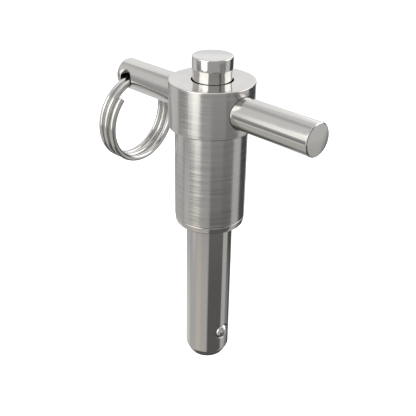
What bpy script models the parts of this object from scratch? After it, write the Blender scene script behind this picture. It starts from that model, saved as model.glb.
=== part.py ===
"""Quick-release ball-lock pin with a T-handle, a push button and a split ring.

Z runs along the pin towards the button, X along the cross bar, and the origin is where the
pin's axis meets the shoulder that seats on the receiving hole. Lengths are in metres.
"""
import math

import bmesh
import bpy
from mathutils import Matrix, Vector

mm = 0.001
gap = 0.2 * mm                      # between pieces that touch on the real pin
aroundSteps = 48

# driving sizes
shankRadius = 6.35 * mm
shankLength = 46.0 * mm             # shoulder to tip
gripRadius = 9.53 * mm
headRadius = 11.1 * mm
handleHeight = 39.6 * mm            # shoulder to the top of the head
headHeight = 12.2 * mm
flangeHeight = 1.87 * mm
barRadius = 4.2 * mm
barHalfLength = 33.6 * mm
buttonRadius = 5.25 * mm
buttonTop = 45.55 * mm
travel = 3.2 * mm                   # of the button and the spindle
ballRadius = 2.2 * mm
ballHeight = -36.0 * mm
ballProud = 1.1 * mm                # how far a locked ball stands out of the shank
ballTravel = 1.15 * mm
wireRadius = 0.88 * mm
ringRadius = 11.94 * mm             # to the middle of the wire
ringHoleX = -29.73 * mm
ringHoleRadius = 2.28 * mm
ringHoleDrop = 0.3 * mm             # below the bar's axis

# sizes that follow from them
barHeight = handleHeight - headHeight / 2
ringHoleHeight = barHeight - ringHoleDrop
buttonBoreRadius = buttonRadius + 0.25 * mm
buttonBoreFloor = barHeight + 1.0 * mm
chamberRadius = 5.4 * mm
chamberTop = barHeight - barRadius - 1.3 * mm
spigotTop = 11.0 * mm               # top of the shank, inside the grip
pinHeight = barHeight + 5.35 * mm   # of the cross pin that joins button and spindle
pinRadius = 0.6 * mm
pinHoleRadius = pinRadius + 0.08 * mm
rodRadius = 2.2 * mm                # spindle above the clip
rodTop = buttonTop - 3.0 * mm       # top of the spindle, inside the button
shaftRadius = 2.9 * mm              # spindle inside the shank
boreRadius = 3.22 * mm
neckRadius = 1.9 * mm
coneSlope = ballTravel / travel
ballReach = shankRadius + ballProud - ballRadius
coneAngle = math.atan(coneSlope)
coneRadiusAtBall = ballReach - (ballRadius + 0.06 * mm) / math.cos(coneAngle)
landRadius = 3.1 * mm
ringPitch = 2 * wireRadius + 0.108 * mm


def clearScene():
    for item in list(bpy.data.objects):
        bpy.data.objects.remove(item, do_unlink=True)


def metal(name, colour, roughness, metallic=1.0):
    material = bpy.data.materials.new(name)
    material.use_nodes = True
    shader = material.node_tree.nodes["Principled BSDF"]
    shader.inputs["Base Color"].default_value = (*colour, 1.0)
    shader.inputs["Roughness"].default_value = roughness
    shader.inputs["Metallic"].default_value = metallic
    material.diffuse_color = (*colour, 1.0)
    return material


def addObject(name, mesh, material):
    item = bpy.data.objects.new(name, mesh)
    bpy.context.scene.collection.objects.link(item)
    if material:
        item.data.materials.append(material)
    return item


def finishMesh(bm, name, sharpAngle=35):
    bmesh.ops.remove_doubles(bm, verts=bm.verts, dist=1e-7)
    bmesh.ops.recalc_face_normals(bm, faces=bm.faces)
    mesh = bpy.data.meshes.new(name)
    bm.to_mesh(mesh)
    bm.free()
    mesh.shade_smooth()
    mesh.set_sharp_from_angle(angle=math.radians(sharpAngle))
    return mesh


def turned(name, profile, material, closed=False, steps=aroundSteps):
    """A profile of (radius, height) points turned about Z; closed joins the last to the first."""
    bm = bmesh.new()
    points = [bm.verts.new((radius, 0, height)) for radius, height in profile]
    edges = [bm.edges.new(pair) for pair in zip(points, points[1:])]
    if closed:
        edges.append(bm.edges.new((points[-1], points[0])))
    bmesh.ops.spin(bm, geom=points + edges, cent=(0, 0, 0), axis=(0, 0, 1),
                   angle=2 * math.pi, steps=steps, use_merge=True)
    return addObject(name, finishMesh(bm, name), material)


def arc(centreRadius, centreHeight, radius, start, end, steps):
    """Points of a round corner in a turned profile, angles in degrees from the radial direction."""
    angles = [math.radians(start + (end - start) * step / steps) for step in range(steps + 1)]
    return [(centreRadius + radius * math.cos(a), centreHeight + radius * math.sin(a)) for a in angles]


def hideCutter(item):
    item.hide_render = True
    item.display_type = "WIRE"
    return item


def cylinderCutter(name, radius, length, centre, direction, steps=aroundSteps):
    """A round cutter about a line through centre."""
    bm = bmesh.new()
    turn = Vector(direction).to_track_quat("Z", "Y").to_matrix().to_4x4()
    bmesh.ops.create_cone(bm, cap_ends=True, segments=steps, radius1=radius,
                          radius2=radius, depth=length,
                          matrix=Matrix.Translation(centre) @ turn)
    return hideCutter(addObject(name, finishMesh(bm, name), None))


def cut(item, cutter):
    modifier = item.modifiers.new(cutter.name, "BOOLEAN")
    modifier.operation = "DIFFERENCE"
    modifier.solver = "EXACT"
    modifier.object = cutter


def sweptWire(name, points, radius, resolution, material):
    """A round wire with closed ends along a list of points."""
    curve = bpy.data.curves.new(name, "CURVE")
    curve.dimensions = "3D"
    curve.bevel_depth = radius
    curve.bevel_resolution = resolution
    curve.use_fill_caps = True
    spline = curve.splines.new("POLY")
    spline.points.add(len(points) - 1)
    for target, point in zip(spline.points, points):
        target.co = (*point, 1.0)
    return addObject(name, curve, material)


def setOrigin(item, origin):
    """Moves an object's origin and leaves its shape in place."""
    item.data.transform(Matrix.Translation(-Vector(origin)))
    item.location = origin


def makeHandleBody(material):
    stepHeight = handleHeight - headHeight
    bottom = flangeHeight + 0.15 * mm
    edge = 0.3 * mm
    spigotBore = shankRadius + gap
    outline = [
        (spigotBore, bottom),
        (gripRadius - edge / 2, bottom),
        (gripRadius, bottom + edge / 2),
        (gripRadius, stepHeight),
        (headRadius - edge, stepHeight),
        (headRadius, stepHeight + edge),
        (headRadius, handleHeight - edge),
        (headRadius - edge, handleHeight),
        (buttonBoreRadius + edge, handleHeight),
        (buttonBoreRadius, handleHeight - edge),
        (buttonBoreRadius, buttonBoreFloor),
        (rodRadius + gap, buttonBoreFloor),
        (rodRadius + gap, chamberTop),
        (chamberRadius, chamberTop),
        (chamberRadius, spigotTop + gap),
        (spigotBore, spigotTop + gap),
    ]
    body = turned("handle_body", outline, material, closed=True, steps=56)
    cut(body, cylinderCutter("cross_bore", barRadius + 0.12 * mm, 3 * headRadius, (0, 0, barHeight), (1, 0, 0)))
    return body


def makeCrossBar(material):
    """One rod right through the head, drilled for the spindle and, near one end, for the ring."""
    edge = 0.35 * mm
    outline = [
        (0, -barHalfLength),
        (barRadius - edge, -barHalfLength),
        (barRadius, -barHalfLength + edge),
        (barRadius, barHalfLength - edge),
        (barRadius - edge, barHalfLength),
        (0, barHalfLength),
    ]
    bar = turned("t_bar", outline, material)
    bar.data.transform(Matrix.Translation((0, 0, barHeight)) @ Matrix.Rotation(math.pi / 2, 4, "Y"))
    through = 4 * barRadius
    cut(bar, cylinderCutter("spindle_hole", rodRadius + gap, through, (0, 0, barHeight), (0, 0, 1), steps=32))
    well = 2 * barRadius
    cut(bar, cylinderCutter("button_well", buttonBoreRadius, well, (0, 0, buttonBoreFloor + well / 2), (0, 0, 1)))
    cut(bar, cylinderCutter("ring_hole", ringHoleRadius, through, (ringHoleX, 0, ringHoleHeight), (0, 1, 0),
                             steps=32))
    return bar


def nosePoints():
    """The shank's end: a taper, then a rounded corner down to a small flat."""
    tip = -shankLength
    taperEnd = 5.35 * mm
    return [
        (0, tip),
        (3.6 * mm, tip),
        (4.4 * mm, tip + 0.25 * mm),
        (5.0 * mm, tip + 0.65 * mm),
        (taperEnd, tip + 1.1 * mm),
        (shankRadius, tip + 3.45 * mm),
    ]


def makeShank(material):
    """The hollow shank with the seat flange and the spigot that the handle is pressed onto."""
    boreFloor = ballHeight - 2.1 * mm - travel - 0.5 * mm
    flangeRadius = gripRadius - 0.04 * mm
    draft = 0.2 * mm                    # the flange is slightly smaller below
    edge = 0.15 * mm
    outline = nosePoints() + [
        (shankRadius, 0),
        (flangeRadius - draft - 2 * edge, 0),
        (flangeRadius - draft, 2 * edge),
        (flangeRadius, flangeHeight - edge),
        (flangeRadius - edge, flangeHeight),
        (shankRadius, flangeHeight),
        (shankRadius, spigotTop),
        (boreRadius, spigotTop),
        (boreRadius, boreFloor),
        (0, boreFloor - 1.0 * mm),
    ]
    shank = turned("shank", outline, material)
    # each ball hole narrows at the shank's surface, where its rim is staked over the ball
    lipStart = shankRadius - 0.85 * mm
    holeRadius = ballRadius + 0.15 * mm
    rimRadius = 2.0 * mm
    past = 0.5 * mm
    endRadius = rimRadius - past * (holeRadius - rimRadius) / (shankRadius - lipStart)
    hole = [(0, 0), (holeRadius, 0), (holeRadius, lipStart), (endRadius, shankRadius + past),
            (0, shankRadius + past)]
    for side in (1, -1):
        cutter = turned("ball_hole_right" if side > 0 else "ball_hole_left", hole, None, steps=32)
        cutter.data.transform(Matrix.Translation((0, 0, ballHeight)) @
                              Matrix.Rotation(side * math.pi / 2, 4, "Y"))
        hideCutter(cutter)
        cut(shank, cutter)
    return shank


def makeSpindle(material):
    """The rod under the button; its cone lets the balls in as it is pushed down."""
    landTop = ballHeight - (landRadius - coneRadiusAtBall) / coneSlope
    landBottom = ballHeight - 2.1 * mm
    neckBottom = ballHeight + (coneRadiusAtBall - neckRadius) / coneSlope
    neckTop = ballHeight + travel + ballRadius
    clipGroove = chamberTop - 1.3 * mm
    grooveRadius = 1.75 * mm
    grooveHeight = 1.0 * mm
    outline = [
        (0, landBottom),
        (landRadius - 0.4 * mm, landBottom),
        (landRadius, landBottom + 0.4 * mm),
        (landRadius, landTop),
        (neckRadius, neckBottom),
        (neckRadius, neckTop),
        (shaftRadius, neckTop + 0.6 * mm),
        (shaftRadius, clipGroove),
        (grooveRadius, clipGroove),
        (grooveRadius, clipGroove + grooveHeight),
        (rodRadius, clipGroove + grooveHeight),
        (rodRadius, rodTop),
        (0, rodTop),
    ]
    spindle = turned("spindle", outline, material, steps=32)
    cut(spindle, cylinderCutter("spindle_pin_hole", pinHoleRadius, 4 * shaftRadius, (0, 0, pinHeight), (0, 1, 0), steps=16))
    return spindle


def makeButton(material):
    capBottom = buttonTop - 3.75 * mm
    skirtBottom = buttonBoreFloor + travel + 0.3 * mm
    skirtRadius = buttonRadius - 0.45 * mm
    corner = 0.55 * mm
    socketRadius = rodRadius + 0.1 * mm
    outline = [(0, buttonTop)]
    outline += arc(buttonRadius - corner, buttonTop - corner, corner, 90, 0, 4)
    outline += [
        (buttonRadius, capBottom + 0.4 * mm),
        (skirtRadius, capBottom),
        (skirtRadius, skirtBottom + 0.3 * mm),
        (skirtRadius - 0.3 * mm, skirtBottom),
        (socketRadius, skirtBottom),
        (socketRadius, rodTop + gap),
        (0, rodTop + gap),
    ]
    button = turned("button", outline, material)
    cut(button, cylinderCutter("button_pin_hole", pinHoleRadius, 4 * buttonRadius, (0, 0, pinHeight), (0, 1, 0), steps=16))
    setOrigin(button, (0, 0, capBottom))
    return button


def makeButtonPin(material):
    halfLength = 4.3 * mm
    outline = [(0, -halfLength), (pinRadius, -halfLength), (pinRadius, halfLength), (0, halfLength)]
    pin = turned("button_pin", outline, material, steps=16)
    pin.data.transform(Matrix.Translation((0, 0, pinHeight)) @ Matrix.Rotation(math.pi / 2, 4, "X"))
    return pin


def makeClip(material):
    """The retaining ring in the spindle's groove; it meets the roof of the chamber when released."""
    bottom = chamberTop - 1.2 * mm
    thickness = 0.8 * mm
    inner = 1.8 * mm
    outer = 3.9 * mm
    clip = turned("retaining_clip", [(inner, bottom), (outer, bottom), (outer, bottom + thickness),
                                     (inner, bottom + thickness)], material, closed=True, steps=32)
    slot = bmesh.new()
    bmesh.ops.create_cube(slot, size=1.0, matrix=Matrix.Translation((0, outer, bottom)) @
                          Matrix.Diagonal((2.4 * mm, 2 * outer, 4 * thickness, 1.0)))
    cut(clip, hideCutter(addObject("clip_opening", finishMesh(slot, "clip_opening"), None)))
    return clip


def makeWasher(name, inner, outer, bottom, thickness, material):
    return turned(name, [(inner, bottom), (outer, bottom), (outer, bottom + thickness),
                         (inner, bottom + thickness)], material, closed=True, steps=40)


def makeSpring(bottom, top, material):
    """A compression spring with its end turns drawn closer together."""
    springWire = 0.42 * mm
    middleRadius = 3.85 * mm
    turns = 8
    stepsPerTurn = 14
    endTurns = 1.0
    start = bottom + springWire + 0.1 * mm
    length = top - bottom - 2 * springWire - 0.2 * mm
    endPitch = 2.3 * springWire
    middlePitch = (length - 2 * endTurns * endPitch) / (turns - 2 * endTurns)
    points = []
    height = start
    for step in range(turns * stepsPerTurn + 1):
        angle = 2 * math.pi * step / stepsPerTurn
        points.append((middleRadius * math.cos(angle), middleRadius * math.sin(angle), height))
        turn = (step + 0.5) / stepsPerTurn
        nearEnd = turn < endTurns or turn > turns - endTurns
        height += (endPitch if nearEnd else middlePitch) / stepsPerTurn
    return sweptWire("return_spring", points, springWire, 2, material)


def makeBall(side, material):
    word = "right" if side > 0 else "left"
    centre = (side * ballReach, 0, ballHeight)
    bm = bmesh.new()
    bmesh.ops.create_uvsphere(bm, u_segments=24, v_segments=14, radius=ballRadius)
    ball = addObject("lock_ball_" + word, finishMesh(bm, "lock_ball_" + word, 180), material)
    ball.location = centre
    return ball


def smoothStep(value):
    value = min(max(value, 0.0), 1.0)
    return value * value * (3 - 2 * value)


def makeSplitRing(material):
    """Spring wire coiled two and two thirds turns; the first end stands off from its neighbour."""
    turns = 2.69
    stepsPerTurn = 40
    startAngle = math.radians(136)          # from +Y, turning up towards +Z
    endLift = 0.54 * mm
    ringTop = ringHoleHeight - 0.06 * mm
    yaw = math.radians(3.8)
    lean = math.radians(3)
    middleTurn = 1.38
    points = []
    steps = round(turns * stepsPerTurn)
    for step in range(steps + 1):
        turn = step / stepsPerTurn
        angle = startAngle + 2 * math.pi * turn
        lift = endLift * (1 - smoothStep((turn - 0.56) / 0.25))
        along = (middleTurn - turn) * ringPitch + lift
        points.append(Vector((along, ringRadius * math.cos(angle), ringRadius * math.sin(angle))))
    turnRing = Matrix.Rotation(yaw, 4, "Z") @ Matrix.Rotation(lean, 4, "Y")
    middle = (ringHoleX - ringRadius * math.sin(lean), 0, ringTop - ringRadius)
    place = Matrix.Translation(middle) @ turnRing
    points = [place @ point for point in points]
    ring = sweptWire("split_ring", points, wireRadius, 3, material)
    setOrigin(ring, (ringHoleX, 0, ringHoleHeight))
    return ring


def main():
    clearScene()
    stainless = metal("stainless_turned", (0.56, 0.55, 0.53), 0.3)
    ground = metal("stainless_ground", (0.6, 0.59, 0.57), 0.25)
    hardened = metal("hardened_steel", (0.5, 0.5, 0.5), 0.15)
    springSteel = metal("spring_steel", (0.62, 0.62, 0.62), 0.2)
    makeHandleBody(stainless)
    makeCrossBar(ground)
    makeShank(ground)
    makeSpindle(hardened)
    makeButton(stainless)
    makeButtonPin(hardened)
    makeClip(springSteel)
    washer = 0.8 * mm
    seatBottom = spigotTop + gap
    capTop = chamberTop - 1.4 * mm
    makeWasher("spring_seat", shaftRadius + gap, chamberRadius - gap, seatBottom, washer, springSteel)
    makeWasher("spring_cap", shaftRadius + 0.1 * mm, 4.7 * mm, capTop - washer, washer, springSteel)
    makeSpring(seatBottom + washer, capTop - washer, springSteel)
    for side in (1, -1):
        makeBall(side, hardened)
    makeSplitRing(springSteel)


main()
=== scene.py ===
import math

import bmesh
import bpy
from mathutils import Matrix, Quaternion, Vector


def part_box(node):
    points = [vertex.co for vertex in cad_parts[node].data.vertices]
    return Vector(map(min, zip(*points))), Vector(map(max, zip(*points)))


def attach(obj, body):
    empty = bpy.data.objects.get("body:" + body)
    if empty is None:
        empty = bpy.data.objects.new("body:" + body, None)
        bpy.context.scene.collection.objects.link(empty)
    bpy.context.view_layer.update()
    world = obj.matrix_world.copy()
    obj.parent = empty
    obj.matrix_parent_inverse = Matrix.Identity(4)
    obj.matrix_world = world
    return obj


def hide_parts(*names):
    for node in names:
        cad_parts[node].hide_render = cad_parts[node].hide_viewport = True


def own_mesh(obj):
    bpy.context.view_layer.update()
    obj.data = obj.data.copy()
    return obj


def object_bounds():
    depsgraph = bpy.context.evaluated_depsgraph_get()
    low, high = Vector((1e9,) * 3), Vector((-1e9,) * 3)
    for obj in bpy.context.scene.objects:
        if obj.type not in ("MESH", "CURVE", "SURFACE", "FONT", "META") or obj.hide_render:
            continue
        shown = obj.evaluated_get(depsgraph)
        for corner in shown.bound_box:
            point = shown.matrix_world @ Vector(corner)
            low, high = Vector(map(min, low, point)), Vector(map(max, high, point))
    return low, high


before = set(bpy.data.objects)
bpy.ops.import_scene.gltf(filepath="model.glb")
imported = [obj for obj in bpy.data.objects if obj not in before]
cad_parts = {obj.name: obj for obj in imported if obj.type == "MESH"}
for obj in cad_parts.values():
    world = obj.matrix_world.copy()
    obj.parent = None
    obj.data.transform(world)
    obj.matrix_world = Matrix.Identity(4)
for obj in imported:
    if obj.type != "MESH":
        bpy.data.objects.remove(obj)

mm = 0.001
cadLow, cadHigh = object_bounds()   # the CAD box, whose low side places the floor


def hexColour(code):
    # sRGB hex to the linear colour that the shaders use
    channels = [int(code[i:i + 2], 16) / 255 for i in (1, 3, 5)]
    linear = [c / 12.92 if c <= 0.04045 else ((c + 0.055) / 1.055) ** 2.4 for c in channels]
    return (*linear, 1.0)


def addNode(tree, kind, settings=None, inputs=None):
    # one node, its settings, and its inputs as plain values or as sockets to link from
    node = tree.nodes.new(kind)
    for name, value in (settings or {}).items():
        setattr(node, name, value)
    for name, value in (inputs or {}).items():
        if isinstance(value, bpy.types.NodeSocket):
            tree.links.new(value, node.inputs[name])
        else:
            node.inputs[name].default_value = value
    return node


def newMaterial(name):
    material = bpy.data.materials.new(name)
    material.use_nodes = True
    return material, material.node_tree, material.node_tree.nodes["Principled BSDF"]


def sizeOf(node):
    low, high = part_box(node)
    return low, high, (low + high) / 2


def newPiece(name, bm):
    bmesh.ops.remove_doubles(bm, verts=bm.verts, dist=1e-7)
    bmesh.ops.recalc_face_normals(bm, faces=bm.faces)
    if bm.calc_volume(signed=True) < 0:
        bmesh.ops.reverse_faces(bm, faces=bm.faces)
    mesh = bpy.data.meshes.new(name)
    bm.to_mesh(mesh)
    bm.free()
    piece = bpy.data.objects.new(name, mesh)
    bpy.context.scene.collection.objects.link(piece)
    return piece


def turnedPiece(name, outline, segments):
    # outline points are (radius, height) or (radius, height, edge radius), from one end to the other
    bm = bmesh.new()
    points = [bm.verts.new((point[0], 0, point[1])) for point in outline]
    edges = [bm.edges.new(pair) for pair in zip(points, points[1:])]
    if outline[0][0] > 0:
        edges.append(bm.edges.new((points[-1], points[0])))
    for edgeRadius in sorted({point[2] for point in outline if len(point) > 2}):
        corners = [vert for vert, point in zip(points, outline) if point[2:] == (edgeRadius,)]
        bmesh.ops.bevel(bm, geom=corners, affect="VERTICES", offset=edgeRadius,
                        segments=4, profile=0.5, material=-1)
    bmesh.ops.spin(bm, geom=bm.verts[:] + bm.edges[:], cent=(0, 0, 0), axis=(0, 0, 1),
                   angle=2 * math.pi, steps=segments, use_merge=True)
    return newPiece(name, bm)


def rimmedCutter(name, holeRadius, bodyRadius, rim, segments, depth=0.0):
    # a round cutter along Z whose ends flare where they break out of a round body lying along X,
    # so that the hole gets an even rounded rim; with a depth it starts that far from the body's axis
    steepest = math.radians(60)
    rimSteps = 3
    rings = []
    for step in range(rimSteps + 1):
        angle = steepest * step / rimSteps
        rise = rim * (math.sin(angle) - math.sin(steepest))
        rings.append((holeRadius + rim * (1 - math.cos(angle)), rise))
    past = 0.4 * mm     # how far the cutter goes on outside the body
    rings.append((rings[-1][0] + past * math.sin(steepest), past * math.cos(steepest)))
    bm = bmesh.new()
    circle = bmesh.ops.create_circle(bm, segments=segments, radius=holeRadius)["verts"]
    halfStep = Matrix.Rotation(math.pi / segments, 4, "Z")
    bmesh.ops.transform(bm, verts=circle, matrix=Matrix.Translation((0, 0, depth)) @ halfStep)
    start = list({edge for vert in circle for edge in vert.link_edges})
    loop = start
    for radius, rise in rings:
        grown = bmesh.ops.extrude_edge_only(bm, edges=loop)["geom"]
        loop = [item for item in grown if isinstance(item, bmesh.types.BMEdge)]
        for vert in {vert for edge in loop for vert in edge.verts}:
            around = math.atan2(vert.co.y, vert.co.x)
            across = radius * math.sin(around)
            vert.co = (radius * math.cos(around), across, math.sqrt(bodyRadius ** 2 - across ** 2) + rise)
    grown = bmesh.ops.extrude_edge_only(bm, edges=loop)["geom"]
    loop = [item for item in grown if isinstance(item, bmesh.types.BMEdge)]
    for vert in {vert for edge in loop for vert in edge.verts}:
        vert.co.z = bodyRadius + past
    bmesh.ops.edgeloop_fill(bm, edges=loop)
    if depth > 0:
        bmesh.ops.edgeloop_fill(bm, edges=start)
    else:
        bmesh.ops.mirror(bm, geom=bm.verts[:] + bm.edges[:] + bm.faces[:], axis="Z", merge_dist=1e-7)
    return newPiece(name, bm)


def cutAway(piece, cutter):
    # takes the cutter's shape out of the piece for good, and removes the cutter
    modifier = piece.modifiers.new("cut", "BOOLEAN")
    modifier.operation = "DIFFERENCE"
    modifier.solver = "EXACT"
    modifier.object = cutter
    for item in (piece, cutter):
        item.data.transform(Matrix.Scale(1000, 4))   # in millimetres, which suits the solver best
    settle(piece)
    piece.data.transform(Matrix.Scale(0.001, 4))
    bpy.data.objects.remove(cutter, do_unlink=True)


def settle(piece):
    # the modifiers' result becomes the piece's own mesh
    bpy.context.view_layer.update()
    shaped = piece.evaluated_get(bpy.context.evaluated_depsgraph_get())
    mesh = bpy.data.meshes.new_from_object(shaped)
    piece.modifiers.clear()
    piece.data = mesh


def finishPiece(piece, material, sharpAngle=40):
    # smooth shading that stays true on the wide faces beside each rounded edge
    mesh = piece.data
    mesh.shade_smooth()
    mesh.set_sharp_from_angle(angle=math.radians(sharpAngle))
    weighted = piece.modifiers.new("weighted", "WEIGHTED_NORMAL")
    weighted.keep_sharp = True
    weighted.weight = 100
    settle(piece)
    piece.data.materials.clear()
    piece.data.materials.append(material)
    return piece


def lineField(tree, axis, spacing, reach):
    # fine lines that run round an axis: narrow along the axis, long and slowly changing around it
    coordinates = addNode(tree, "ShaderNodeTexCoord")
    stretch = [1 / reach] * 3
    stretch["XYZ".index(axis)] = 1 / spacing
    mapping = addNode(tree, "ShaderNodeMapping", None,
                      {"Vector": coordinates.outputs["Object"], "Scale": stretch})
    return addNode(tree, "ShaderNodeTexNoise", {"noise_dimensions": "3D"},
                   {"Vector": mapping.outputs["Vector"], "Scale": 1.0, "Detail": 3.0, "Roughness": 0.6})


def metalWithLines(name, look):
    material, tree, shader = newMaterial(name)
    shader.inputs["Metallic"].default_value = 1.0
    lines = lineField(tree, look["axis"], look["lineSpacing"], look["lineReach"])
    clouds = addNode(tree, "ShaderNodeTexNoise", None, {
        "Vector": addNode(tree, "ShaderNodeTexCoord").outputs["Object"],
        "Scale": 1 / look["cloudSize"], "Detail": 2.0})
    # roughness changes a little from line to line, and slowly over the surface
    smoothest = look["roughness"] - look["roughnessSwing"]
    roughest = look["roughness"] + look["roughnessSwing"]
    lineRough = addNode(tree, "ShaderNodeMapRange", None, {
        "Value": lines.outputs["Fac"], "From Min": 0.3, "From Max": 0.7,
        "To Min": smoothest, "To Max": roughest})
    cloudRough = addNode(tree, "ShaderNodeMapRange", None, {
        "Value": clouds.outputs["Fac"], "From Min": 0.3, "From Max": 0.7, "To Min": -0.015, "To Max": 0.015})
    rough = addNode(tree, "ShaderNodeMath", {"operation": "ADD", "use_clamp": True})
    tree.links.new(lineRough.outputs["Result"], rough.inputs[0])
    tree.links.new(cloudRough.outputs["Result"], rough.inputs[1])
    finish = rough.outputs["Value"]
    if "faceRoughness" in look:
        # faces square to the axis
        split = addNode(tree, "ShaderNodeSeparateXYZ", None, {
            "Vector": addNode(tree, "ShaderNodeTexCoord").outputs["Normal"]})
        square = addNode(tree, "ShaderNodeMapRange", None, {
            "Value": split.outputs[look["axis"]], "From Min": 0.8, "From Max": 0.97})
        blend = addNode(tree, "ShaderNodeMix", {"data_type": "FLOAT"})
        tree.links.new(square.outputs["Result"], blend.inputs[0])
        tree.links.new(finish, blend.inputs[2])
        blend.inputs[3].default_value = look["faceRoughness"]
        finish = blend.outputs[0]
    tree.links.new(finish, shader.inputs["Roughness"])
    # the colour varies a touch with the lines
    tint = addNode(tree, "ShaderNodeMix", {"data_type": "RGBA"})
    tree.links.new(lines.outputs["Fac"], tint.inputs[0])
    tint.inputs[6].default_value = hexColour(look["darkColour"])
    tint.inputs[7].default_value = hexColour(look["colour"])
    tree.links.new(tint.outputs[2], shader.inputs["Base Color"])
    bump = addNode(tree, "ShaderNodeBump", None, {
        "Height": lines.outputs["Fac"], "Strength": 1.0, "Distance": look["lineDepth"]})
    tree.links.new(bump.outputs["Normal"], shader.inputs["Normal"])
    if look["anisotropy"]:
        shader.inputs["Anisotropic"].default_value = look["anisotropy"]
        shader.inputs["Anisotropic Rotation"].default_value = 0.25
        tangent = addNode(tree, "ShaderNodeTangent", {"direction_type": "RADIAL", "axis": look["axis"]})
        tree.links.new(tangent.outputs["Tangent"], shader.inputs["Tangent"])
    return material


def turnedStainless():
    # 303 stainless turned on a lathe and lightly polished: lines run round, and highlights are
    # drawn out along the axis
    look = {
        "axis": "Z",
        "colour": "#dbd9d6",
        "darkColour": "#b9b7b4",
        "roughness": 0.2,
        "roughnessSwing": 0.06,
        "faceRoughness": 0.09,        # the faced ends are polished brighter than the sides
        "anisotropy": 0.7,
        "lineSpacing": 0.45 * mm,     # real turning marks are finer: drawn as coarse as shows
        "lineReach": 11 * mm,
        "lineDepth": 0.0023 * mm,
        "cloudSize": 12 * mm,
    }
    return metalWithLines("turned_303_stainless", look)


def groundStainless(name, axis, roughness):
    # 17-4 stainless, centreless ground: finer lines and a clearer reflection than turning leaves
    look = {
        "axis": axis,
        "colour": "#d3d1ce",
        "darkColour": "#cac8c5",
        "roughness": roughness,
        "roughnessSwing": 0.02,
        "anisotropy": 0.6,
        "lineSpacing": 0.2 * mm,
        "lineReach": 10 * mm,
        "lineDepth": 0.0008 * mm,
        "cloudSize": 9 * mm,
    }
    return metalWithLines(name, look)


def polishedStainless():
    # 303 stainless buffed after turning: nearly a mirror, with the faintest rings left
    look = {
        "axis": "Z",
        "colour": "#d7d5d2",
        "darkColour": "#d1cfcc",
        "roughness": 0.1,
        "roughnessSwing": 0.02,
        "anisotropy": 0.0,
        "lineSpacing": 0.3 * mm,
        "lineReach": 8 * mm,
        "lineDepth": 0.0004 * mm,
        "cloudSize": 6 * mm,
    }
    return metalWithLines("buffed_303_stainless", look)


def lappedSteel():
    # hardened 440C stainless, lapped in a ball mill: mirror bright, with soft clouding
    look = {
        "axis": "Z",
        "colour": "#d9d7d4",
        "darkColour": "#d2d0cd",
        "roughness": 0.08,
        "roughnessSwing": 0.02,
        "anisotropy": 0.0,
        "lineSpacing": 1.2 * mm,
        "lineReach": 1.2 * mm,
        "lineDepth": 0.0003 * mm,
        "cloudSize": 2 * mm,
    }
    return metalWithLines("lapped_440c_steel", look)


def drawnWire():
    # 302 stainless spring wire, drawn bright and tumbled: soft sheen with slight marks
    look = {
        "axis": "X",
        "colour": "#d5d3d0",
        "darkColour": "#cbc9c6",
        "roughness": 0.16,
        "roughnessSwing": 0.04,
        "anisotropy": 0.0,
        "lineSpacing": 0.4 * mm,
        "lineReach": 4 * mm,
        "lineDepth": 0.0008 * mm,
        "cloudSize": 5 * mm,
    }
    return metalWithLines("drawn_302_wire", look)


def makeCasing(material):
    # the turned handle: a head for the cross bar above a slimmer grip
    low, high, _ = sizeOf("handle_body")
    casing = {
        "headRadius": high.x,
        "gripRadius": 9.53 * mm,
        "headHeight": 12.2 * mm,
        "buttonBore": 5.4 * mm,
        "boreEdge": 0.1 * mm,
        "topEdge": 0.3 * mm,
        "footEdge": 0.22 * mm,
        "barFit": 0.06 * mm,        # the bar's bore over the bar
        "boreRim": 0.14 * mm,
        "bottomDrop": 0.1 * mm,     # closes most of the working gap above the flange
        "spigotBore": 6.6 * mm,
        "spigotBoreTop": 11.25 * mm,
        "springChamber": 5.4 * mm,
        "chamberRoof": 0.5 * mm,    # above the foot of the head
        "spindleBore": 2.45 * mm,
        "buttonBoreDepth": 5.0 * mm,
    }
    top = high.z
    step = top - casing["headHeight"]
    bottom = low.z - casing["bottomDrop"]
    roof = step + casing["chamberRoof"]
    boreFloor = top - casing["buttonBoreDepth"]
    outline = [
        (casing["spigotBore"], bottom),
        (casing["gripRadius"], bottom, casing["footEdge"]),
        (casing["gripRadius"], step),
        (casing["headRadius"], step, casing["topEdge"]),
        (casing["headRadius"], top, casing["topEdge"]),
        (casing["buttonBore"], top, casing["boreEdge"]),
        (casing["buttonBore"], boreFloor),
        (casing["spindleBore"], boreFloor),
        (casing["spindleBore"], roof),
        (casing["springChamber"], roof),
        (casing["springChamber"], casing["spigotBoreTop"]),
        (casing["spigotBore"], casing["spigotBoreTop"]),
    ]
    piece = turnedPiece("casing", outline, 256)
    barLow, barHigh, barMiddle = sizeOf("t_bar")
    barRadius = (barHigh.z - barLow.z) / 2
    cutter = rimmedCutter("bar_bore", barRadius + casing["barFit"], casing["headRadius"],
                          casing["boreRim"], 128)
    cutter.data.transform(Matrix.Translation((0, 0, barMiddle.z)) @ Matrix.Rotation(math.pi / 2, 4, "Y"))
    cutAway(piece, cutter)
    finishPiece(piece, material)
    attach(piece, "handle")
    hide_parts("handle_body")
    print("casing made")
    return piece


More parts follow.
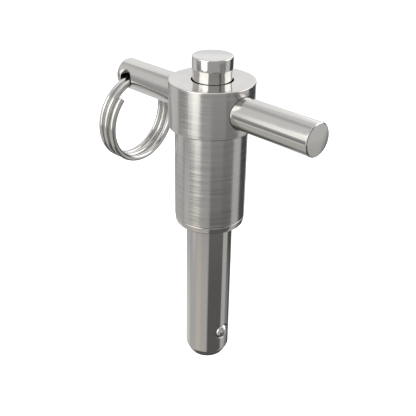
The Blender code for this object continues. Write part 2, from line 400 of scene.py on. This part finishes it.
def makeCrossBar(material):
    low, high, middle = sizeOf("t_bar")
    bar = {
        "radius": (high.z - low.z) / 2,
        "halfLength": high.x,
        "endEdge": 0.28 * mm,
        "edgeSoftness": 0.08 * mm,
        "ringHoleX": -29.73 * mm,
        "ringHoleDrop": 0.3 * mm,
        "ringHoleRadius": 2.32 * mm,
        "ringHoleRim": 0.22 * mm,
        "spindleHole": 2.4 * mm,
        "buttonWell": 5.5 * mm,
        "wellFloor": 34.5 * mm,
    }
    radius, end, edge, soft = bar["radius"], bar["halfLength"], bar["endEdge"], bar["edgeSoftness"]
    outline = [
        (0, -end),
        (radius - edge, -end, soft),
        (radius, -end + edge, soft),
        (radius, end - edge, soft),
        (radius - edge, end, soft),
        (0, end),
    ]
    piece = turnedPiece("cross_bar", outline, 192)
    piece.data.transform(Matrix.Translation((0, 0, middle.z)) @ Matrix.Rotation(math.pi / 2, 4, "Y"))
    ringHole = rimmedCutter("ring_hole", bar["ringHoleRadius"], radius, bar["ringHoleRim"], 96)
    holeMiddle = Vector((bar["ringHoleX"], 0, middle.z - bar["ringHoleDrop"]))
    ringHole.data.transform(Matrix.Translation(holeMiddle) @ Matrix.Rotation(math.pi / 2, 4, "X"))
    cutAway(piece, ringHole)
    past = 1 * mm
    for name, wide, bottom in (("spindle_hole", bar["spindleHole"], low.z - past),
                               ("button_well", bar["buttonWell"], bar["wellFloor"])):
        bm = bmesh.new()
        depth = high.z + past - bottom
        bmesh.ops.create_cone(bm, cap_ends=True, segments=64, radius1=wide, radius2=wide, depth=depth,
                              matrix=Matrix.Translation((0, 0, bottom + depth / 2)))
        cutAway(piece, newPiece(name, bm))
    finishPiece(piece, material)
    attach(piece, "handle")
    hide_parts("t_bar")
    print("cross bar made")
    return piece


def makePin(material):
    # the shank with its seat flange and the spigot inside the casing
    low, high, _ = sizeOf("shank")
    ballMiddle = sizeOf("lock_ball_right")[2]
    pin = {
        "radius": 6.35 * mm,
        "tip": low.z,
        "flangeRadius": high.x,
        "flangeHeight": 1.87 * mm,
        "flangeDraft": 0.2 * mm,
        "spigotTop": 11.0 * mm,
        "bore": 3.22 * mm,
        "ballMouth": 2.25 * mm,
        "ballPocket": 2.45 * mm,
        "mouthRim": 0.3 * mm,
        "mouthDepth": 0.9 * mm,
        "pocketDepth": 0.55 * mm,   # leaves a thin lip staked over the ball
        "tipRadius": 3.9 * mm,
        "shoulderRadius": 5.3 * mm,
        "shoulderHeight": 1.2 * mm,
        "noseHeight": 3.45 * mm,
        "noseEdge": 0.3 * mm,
        "boreStraight": 5.8 * mm,   # below the balls
        "boreBottom": 6.8 * mm,
    }
    tip = pin["tip"]
    radius = pin["radius"]
    outline = [
        (0, tip),
        (pin["tipRadius"], tip, 0.2 * mm),
        (pin["shoulderRadius"], tip + pin["shoulderHeight"], pin["noseEdge"]),
        (radius, tip + pin["noseHeight"], pin["noseEdge"]),
        (radius, 0, 0.1 * mm),
        (pin["flangeRadius"] - pin["flangeDraft"], 0, 0.35 * mm),
        (pin["flangeRadius"], pin["flangeHeight"], 0.22 * mm),
        (radius, pin["flangeHeight"]),
        (radius, pin["spigotTop"]),
        (pin["bore"], pin["spigotTop"]),
        (pin["bore"], ballMiddle.z - pin["boreStraight"]),
        (0, ballMiddle.z - pin["boreBottom"]),
    ]
    piece = turnedPiece("pin_shank", outline, 256)
    for side in (1, -1):
        # the hole is wider inside, and its mouth is staked over the ball
        mouth = rimmedCutter("ball_mouth", pin["ballMouth"], radius, pin["mouthRim"], 96,
                             depth=radius - pin["mouthDepth"])
        depth = radius - pin["pocketDepth"]
        pocket = bmesh.new()
        bmesh.ops.create_cone(pocket, cap_ends=True, segments=64, radius1=pin["ballPocket"],
                              radius2=pin["ballPocket"], depth=depth,
                              matrix=Matrix.Translation((0, 0, depth / 2)))
        outward = Matrix.Translation((0, 0, ballMiddle.z)) @ Matrix.Rotation(side * math.pi / 2, 4, "Y")
        for cutter in (mouth, newPiece("ball_pocket", pocket)):
            cutter.data.transform(outward)
            cutAway(piece, cutter)
    finishPiece(piece, material)
    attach(piece, "handle")
    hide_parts("shank")
    print("pin shank made")
    return piece


def makeButton(material):
    low, high, _ = sizeOf("button")
    button = {
        "radius": high.x,
        "neckRadius": 5.03 * mm,
        "capHeight": 2.9 * mm,
        "waist": 1.3 * mm,          # how far the cap takes to ease into the neck
        "topEdge": 0.36 * mm,
        "crown": 0.15 * mm,         # stands this much above the CAD's flat top
        "waistEdge": 0.6 * mm,
        "socket": 2.3 * mm,
        "roof": 2.8 * mm,           # solid metal above the socket
    }
    top = high.z + button["crown"]
    capBottom = high.z - button["capHeight"]
    outline = [
        (0, top),
        (button["radius"], top, button["topEdge"]),
        (button["radius"], capBottom, button["waistEdge"]),
        (button["neckRadius"], capBottom - button["waist"], button["waistEdge"]),
        (button["neckRadius"], low.z),
        (button["socket"], low.z),
        (button["socket"], high.z - button["roof"]),
        (0, high.z - button["roof"]),
    ]
    piece = turnedPiece("push_button", outline, 192)
    finishPiece(piece, material)
    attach(piece, "plunger")
    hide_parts("button")
    print("push button made")
    return piece


def makeBalls(material):
    ball = {
        "clearance": 0.03 * mm,     # keeps it off the spindle's cone when the button is pressed
    }
    for side, body in (("right", "ball_right"), ("left", "ball_left")):
        node = "lock_ball_" + side
        low, high, middle = sizeOf(node)
        bm = bmesh.new()
        radius = (high.z - low.z) / 2 - ball["clearance"]
        bmesh.ops.create_icosphere(bm, subdivisions=5, radius=radius,
                                   matrix=Matrix.Translation(middle))
        piece = newPiece("ball_" + side, bm)
        piece.data.shade_smooth()
        piece.data.materials.append(material)
        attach(piece, body)
        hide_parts(node)
    print("lock balls made")


def wirePiece(name, curve):
    # a bevelled curve turned into a mesh
    wire = bpy.data.objects.new(name + "_curve", curve)
    bpy.context.scene.collection.objects.link(wire)
    bpy.context.view_layer.update()
    mesh = bpy.data.meshes.new_from_object(wire.evaluated_get(bpy.context.evaluated_depsgraph_get()))
    bpy.data.objects.remove(wire, do_unlink=True)
    piece = bpy.data.objects.new(name, mesh)
    bpy.context.scene.collection.objects.link(piece)
    return piece


def makeSplitRing(material):
    ring = {
        "wireRadius": 0.88 * mm,
        "radius": 11.94 * mm,
        "turns": 2.69,
        "startAngle": 136,            # degrees from +Y, turning up towards +Z
        "pitch": 1.868 * mm,
        "endLift": 0.54 * mm,         # the first end stands off from the turn beside it
        "holeX": -29.73 * mm,
        "topBelowBar": 0.36 * mm,
        "yaw": 3.8,
        "lean": 3,
        "middleTurn": 1.38,
        "easeFrom": 0.56,             # turns over which the first end comes down to its neighbour
        "easeOver": 0.25,
    }
    barHeight = sizeOf("t_bar")[2].z
    stepsPerTurn = 72
    steps = round(ring["turns"] * stepsPerTurn)
    lean = math.radians(ring["lean"])
    place = Matrix.Translation((ring["holeX"] - ring["radius"] * math.sin(lean), 0,
                                barHeight - ring["topBelowBar"] - ring["radius"]))
    place = place @ Matrix.Rotation(math.radians(ring["yaw"]), 4, "Z") @ Matrix.Rotation(lean, 4, "Y")
    curve = bpy.data.curves.new("split_ring_wire", "CURVE")
    curve.dimensions = "3D"
    curve.bevel_depth = ring["wireRadius"]
    curve.bevel_resolution = 8
    curve.use_fill_caps = True
    spline = curve.splines.new("POLY")
    spline.points.add(steps)
    for step, point in enumerate(spline.points):
        turn = step / stepsPerTurn
        angle = math.radians(ring["startAngle"]) + 2 * math.pi * turn
        ease = min(max((turn - ring["easeFrom"]) / ring["easeOver"], 0), 1)
        lift = ring["endLift"] * (1 - ease * ease * (3 - 2 * ease))
        along = (ring["middleTurn"] - turn) * ring["pitch"] + lift
        spot = place @ Vector((along, ring["radius"] * math.cos(angle), ring["radius"] * math.sin(angle)))
        point.co = (*spot, 1)
    piece = wirePiece("coiled_ring", curve)
    finishPiece(piece, material)
    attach(piece, "ring")
    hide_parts("split_ring")
    print("split ring made")
    return piece


def makeReturnCoil(material):
    # the spring between its seat and the cap, coiled to fill its CAD part's height
    coil = {
        "wireRadius": 0.42 * mm,
        "endPitch": 0.966 * mm,
        "endTurns": 1,
        "turns": 8,
        "radius": 3.85 * mm,
        "travel": 3.2 * mm,
    }
    low, high, _ = sizeOf("return_spring")
    radius = coil["radius"]
    start = low.z + coil["wireRadius"]
    length = high.z - low.z - 2 * coil["wireRadius"]
    middleTurns = coil["turns"] - 2 * coil["endTurns"]
    middlePitch = (length - 2 * coil["endTurns"] * coil["endPitch"]) / middleTurns
    curve = bpy.data.curves.new("return_coil_wire", "CURVE")
    curve.dimensions = "3D"
    curve.bevel_depth = coil["wireRadius"] - 0.01 * mm
    curve.bevel_resolution = 5
    curve.use_fill_caps = True
    spline = curve.splines.new("POLY")
    stepsPerTurn = 48
    spline.points.add(round(coil["turns"] * stepsPerTurn))
    for step, point in enumerate(spline.points):
        turn = step / stepsPerTurn
        early = min(turn, coil["endTurns"])
        late = max(turn - coil["turns"] + coil["endTurns"], 0)
        height = start + (early + late) * coil["endPitch"] + (turn - early - late) * middlePitch
        angle = 2 * math.pi * turn
        point.co = (radius * math.cos(angle), radius * math.sin(angle), height, 1)
    piece = wirePiece("return_coil", curve)
    finishPiece(piece, material)
    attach(piece, "handle")
    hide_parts("return_spring")
    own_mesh(piece)
    print("return coil made")
    return piece


def dressInnerParts(materials):
    # the CAD nodes inside the casing keep their shapes and take a finish of their own
    for node, material in materials.items():
        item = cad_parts[node]
        item.data.materials.clear()
        item.data.materials.append(material)
    print("inner parts dressed")


def makeFloor():
    floor = {
        "size": 6.0,
        "drop": 60 * mm,     # below the pin's tip, so that no shadow edge shows
        "colour": "#f7f7f7",
    }
    bm = bmesh.new()
    bmesh.ops.create_grid(bm, x_segments=1, y_segments=1, size=floor["size"] / 2,
                          matrix=Matrix.Translation((0, 0, cadLow.z - floor["drop"])))
    piece = newPiece("studio_floor", bm)
    material, tree, shader = newMaterial("matt_white_floor")
    shader.inputs["Base Color"].default_value = hexColour(floor["colour"])
    shader.inputs["Roughness"].default_value = 0.9
    shader.inputs["Emission Color"].default_value = (1, 1, 1, 1)
    shader.inputs["Emission Strength"].default_value = 0.6
    piece.data.materials.append(material)
    piece.visible_glossy = False      # the metal mirrors the soft boxes, and not the floor
    piece.visible_shadow = False
    print("floor laid")


def makeStudio(frontAzimuth):
    # soft boxes and dark flags far round the pin. Azimuths are degrees to the right of the camera,
    # elevations are above the horizon, soft is the width of an edge, and light is its brightness
    patches = [
        # overhead, and all that stands above the horizon
        {"azimuth": (-200, 200), "elevation": (8, 100), "soft": 24, "light": 0.8, "colour": "#ffffff"},
        {"azimuth": (-140, -110), "elevation": (40, 62), "soft": 12, "light": 0.58, "colour": "#ffffff"},
        {"azimuth": (150, 222), "elevation": (11, 44), "soft": 8, "light": 1.09, "colour": "#ffffff"},
        {"azimuth": (156, 172), "elevation": (10, 32), "soft": 6, "light": 1.6, "colour": "#ffffff"},
        {"azimuth": (-22, 74), "elevation": (6, 58), "soft": 8, "light": 0.5, "colour": "#ffffff"},
        {"azimuth": (78, 128), "elevation": (8, 46), "soft": 6, "light": 2.2, "colour": "#ffffff"},
        {"azimuth": (40, 52), "elevation": (8, 60), "soft": 6, "light": 0.2, "colour": "#ffffff"},
        {"azimuth": (-200, 200), "elevation": (62, 120), "soft": 8, "light": 1.1, "colour": "#ffffff"},
        # back, seen at the grazing edges
        {"azimuth": (148, 192), "elevation": (-34, 14), "soft": 12, "light": 0.9, "colour": "#fbfcff"},
        {"azimuth": (148, 192), "elevation": (-90, -34), "soft": 8, "light": 0.6, "colour": "#fbfcff"},
        {"azimuth": (-165, -112), "elevation": (-48, -32), "soft": 12, "light": 0.78, "colour": "#ffffff"},
        # left
        {"azimuth": (-150, -95), "elevation": (-31, -25), "soft": 4, "light": 0.52, "colour": "#ffffff"},
        {"azimuth": (-130, -98), "elevation": (-24, -8), "soft": 6, "light": 0.75, "colour": "#ffffff"},
        {"azimuth": (-112, -6), "elevation": (-80, -31.5), "soft": 4, "light": 0.58, "colour": "#fffdf9"},
        {"azimuth": (-92, -70), "elevation": (-31, -24), "soft": 5, "light": 0.8, "colour": "#ffffff"},
        {"azimuth": (-66, -41), "elevation": (-70, -31), "soft": 14, "light": 0.7, "colour": "#fff6ea"},
        {"azimuth": (-92, -72), "elevation": (-23, -12), "soft": 6, "light": 0.3, "colour": "#ffffff"},
        {"azimuth": (-63, -29), "elevation": (-19, 24), "soft": 6, "light": 1.9, "colour": "#fffefb"},
        {"azimuth": (-52, -34), "elevation": (-22, 0), "soft": 8, "light": 2.0, "colour": "#fffefb"},
        {"azimuth": (-80, -24), "elevation": (11, 45), "soft": 6, "light": 2.4, "colour": "#ffffff"},
        {"azimuth": (-84, -56), "elevation": (-4, 17), "soft": 6, "light": 1.35, "colour": "#fffefb"},
        # right
        {"azimuth": (0, 76), "elevation": (-80, -25), "soft": 4, "light": 0.165, "colour": "#ffffff"},
        {"azimuth": (0, 76), "elevation": (-80, -33), "soft": 4, "light": 0.13, "colour": "#ffffff"},
        {"azimuth": (38, 74), "elevation": (-25, -8), "soft": 4, "light": 0.3, "colour": "#ffffff"},
        {"azimuth": (76, 106), "elevation": (-80, -24), "soft": 5, "light": 0.56, "colour": "#fffefb"},
        {"azimuth": (78, 110), "elevation": (-24, 5), "soft": 5, "light": 0.66, "colour": "#ffffff"},
        {"azimuth": (107, 151), "elevation": (-80, 10), "soft": 6, "light": 0.085, "colour": "#f4f8ff"},
        {"azimuth": (108, 130), "elevation": (-80, -33), "soft": 6, "light": 0.28, "colour": "#ffffff"},
        # straight down
        {"azimuth": (-200, 200), "elevation": (-120, -62), "soft": 6, "light": 0.12, "colour": "#ffffff"},
    ]
    base = {"light": 0.45, "colour": "#ffffff"}
    world = bpy.data.worlds.new("studio")
    bpy.context.scene.world = world
    world.use_nodes = True
    tree = world.node_tree
    tree.nodes.clear()
    direction = addNode(tree, "ShaderNodeTexCoord").outputs["Generated"]
    height = addNode(tree, "ShaderNodeSeparateXYZ", None, {"Vector": direction}).outputs["Z"]
    arc = addNode(tree, "ShaderNodeMath", {"operation": "ARCSINE"})
    tree.links.new(height, arc.inputs[0])
    colour = addNode(tree, "ShaderNodeRGB").outputs["Color"]
    colour.default_value = [c * base["light"] for c in hexColour(base["colour"])[:3]] + [1]
    for patch in patches:
        masks = []
        for part, (start, end) in (("azimuth", patch["azimuth"]), ("elevation", patch["elevation"])):
            middle, half = math.radians((start + end) / 2), math.radians((end - start) / 2)
            soft = math.radians(patch["soft"]) / 2
            if part == "azimuth":
                turned = addNode(tree, "ShaderNodeVectorRotate", {"rotation_type": "Z_AXIS"}, {
                    "Vector": direction, "Angle": -(math.radians(frontAzimuth) + middle)})
                split = addNode(tree, "ShaderNodeSeparateXYZ", None, {"Vector": turned.outputs["Vector"]})
                angle = addNode(tree, "ShaderNodeMath", {"operation": "ARCTAN2"})
                tree.links.new(split.outputs["Y"], angle.inputs[0])
                tree.links.new(split.outputs["X"], angle.inputs[1])
            else:
                angle = addNode(tree, "ShaderNodeMath", {"operation": "SUBTRACT"})
                tree.links.new(arc.outputs["Value"], angle.inputs[0])
                angle.inputs[1].default_value = middle
            away = addNode(tree, "ShaderNodeMath", {"operation": "ABSOLUTE"})
            tree.links.new(angle.outputs["Value"], away.inputs[0])
            masks.append(addNode(tree, "ShaderNodeMapRange", {"interpolation_type": "SMOOTHSTEP"}, {
                "Value": away.outputs["Value"], "From Min": half - soft, "From Max": half + soft,
                "To Min": 1.0, "To Max": 0.0}).outputs["Result"])
        both = addNode(tree, "ShaderNodeMath", {"operation": "MULTIPLY"})
        for socket, mask in zip(both.inputs, masks):
            tree.links.new(mask, socket)
        mix = addNode(tree, "ShaderNodeMix", {"data_type": "RGBA"})
        tree.links.new(both.outputs["Value"], mix.inputs[0])
        tree.links.new(colour, mix.inputs[6])
        mix.inputs[7].default_value = [c * patch["light"] for c in hexColour(patch["colour"])[:3]] + [1]
        colour = mix.outputs[2]
    surround = addNode(tree, "ShaderNodeBackground", None, {"Color": colour})
    backdrop = addNode(tree, "ShaderNodeBackground", None, {"Color": (1, 1, 1, 1), "Strength": 1.0})
    path = addNode(tree, "ShaderNodeLightPath")
    choose = addNode(tree, "ShaderNodeMixShader")
    tree.links.new(path.outputs["Is Camera Ray"], choose.inputs[0])
    tree.links.new(surround.outputs["Background"], choose.inputs[1])
    tree.links.new(backdrop.outputs["Background"], choose.inputs[2])
    output = addNode(tree, "ShaderNodeOutputWorld")
    tree.links.new(choose.outputs["Shader"], output.inputs["Surface"])
    print("studio lit")


def makeCamera():
    camera = {
        "azimuth": -45.2,
        "elevation": 28.5,
        "roll": 1.1,
        "distance": 188.06 * mm,
        "target": Vector((-0.34, -0.34, 2.95)) * mm,
        "lens": 59.2,
    }
    azimuth, elevation = math.radians(camera["azimuth"]), math.radians(camera["elevation"])
    back = Vector((math.cos(elevation) * math.cos(azimuth), math.cos(elevation) * math.sin(azimuth),
                   math.sin(elevation)))
    data = bpy.data.cameras.new("studio_camera")
    data.lens = camera["lens"]
    data.sensor_width = 36
    data.clip_start = 0.01
    item = bpy.data.objects.new("studio_camera", data)
    bpy.context.scene.collection.objects.link(item)
    item.rotation_mode = "QUATERNION"
    roll = Quaternion((0, 0, 1), math.radians(camera["roll"]))
    item.rotation_quaternion = (-back).to_track_quat("-Z", "Y") @ roll
    item.location = camera["target"] + back * camera["distance"]
    bpy.context.scene.camera = item
    bpy.context.scene.view_settings.view_transform = "Standard"
    print("camera placed")
    return camera["azimuth"]


turned = turnedStainless()
makeCasing(turned)
makeCrossBar(groundStainless("ground_17_4_bar", "X", 0.1))
makePin(groundStainless("ground_17_4_pin", "Z", 0.12))
makeButton(polishedStainless())
lapped = lappedSteel()
makeBalls(lapped)
wire = drawnWire()
makeSplitRing(wire)
makeReturnCoil(wire)
dressInnerParts({
    "spindle": lapped,
    "button_pin": lapped,
    "retaining_clip": wire,
    "spring_cap": wire,
    "spring_seat": wire,
})
makeFloor()
front = makeCamera()
makeStudio(front)
